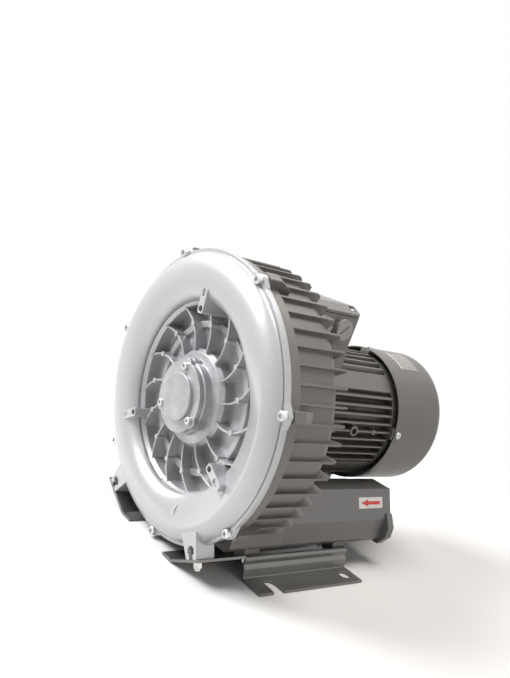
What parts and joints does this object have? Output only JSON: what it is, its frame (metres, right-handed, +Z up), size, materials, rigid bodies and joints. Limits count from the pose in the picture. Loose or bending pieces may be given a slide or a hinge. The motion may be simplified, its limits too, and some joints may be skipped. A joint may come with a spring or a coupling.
{
  "type": "side channel blower",
  "caption": "Side channel blower: ribbed round cover, finned housing, fan-cooled motor with terminal box, silencers below with rear ports, bent sheet feet, and a rotor that turns.",
  "frame": {"origin": "middle of the foot bolt pattern, on the floor the feet stand on", "axes": "+Y along the shaft from the front cover to the fan cowl, +X to the right of someone facing the front cover, +Z up"},
  "size_m": [0.328, 0.356, 0.328],
  "materials": {
    "silver_paint": "satin",
    "grey_paint": "satin",
    "silencer_paint": "satin",
    "cowl_paint": "satin",
    "foot_paint": "satin",
    "raw_aluminium": "matte",
    "machined_steel": "satin",
    "electrical_steel": "matte",
    "spring_steel": "satin",
    "bearing_steel": "gloss",
    "copper_wire": "satin",
    "stud_brass": "satin",
    "zinc_steel": "satin",
    "seal_rubber": "matte",
    "gasket_fibre": "matte",
    "foam": "matte",
    "black_plastic": "matte",
    "grey_plastic": "satin"
  },
  "bodies": {
    "casing": {"bearing_cap": "silver_paint", "bearing_cap_screws": "bearing_steel", "bearing_wave_washer": "spring_steel", "blanking_plugs": "grey_plastic", "cover_gasket": "gasket_fibre", "cover_screws": "zinc_steel", "cowl_screws": "zinc_steel", "earth_screw": "stud_brass", "end_shield_screws": "zinc_steel", "fan_cowl": "cowl_paint", "foot_left": "foot_paint", "foot_right": "foot_paint", "foot_screws": "zinc_steel", "frame_screws": "zinc_steel", "front_bearing_outer_ring": "bearing_steel", "front_cover": "silver_paint", "housing": "grey_paint", "lid_screws": "zinc_steel", "lug_bolts": "zinc_steel", "lug_nuts": "zinc_steel", "motor_frame": "grey_paint", "rear_bearing_outer_ring": "bearing_steel", "rear_end_shield": "grey_paint", "shaft_seal": "seal_rubber", "silencer_cap_left": "silencer_paint", "silencer_cap_right": "silencer_paint", "silencer_foam_left": "foam", "silencer_foam_right": "foam", "silencer_gasket_left": "gasket_fibre", "silencer_gasket_right": "gasket_fibre", "silencer_left": "silencer_paint", "silencer_right": "silencer_paint", "silencer_rods": "zinc_steel", "stator_core": "electrical_steel", "stator_windings": "copper_wire", "terminal_block": "black_plastic", "terminal_box": "grey_paint", "terminal_lid": "grey_paint", "terminal_lid_gasket": "seal_rubber", "terminal_studs": "stud_brass"},
    "rotor": {"shaft": "machined_steel", "impeller": "raw_aluminium", "impeller_key": "machined_steel", "impeller_spacer": "machined_steel", "shaft_end_washer": "machined_steel", "shaft_end_bolt": "zinc_steel", "front_bearing_inner_ring": "bearing_steel", "front_bearing_balls": "bearing_steel", "rear_bearing_inner_ring": "bearing_steel", "rear_bearing_balls": "bearing_steel", "rotor_core": "electrical_steel", "rotor_cage_rings": "raw_aluminium", "cooling_fan": "black_plastic", "fan_clip": "spring_steel"}
  },
  "joints": [
    {"name": "rotor_spin", "type": "hinge", "parent": "casing", "child": "rotor", "pos_m": [0, 0, 0.168], "axis": [0, 1, 0], "continuous": true}
  ]
}
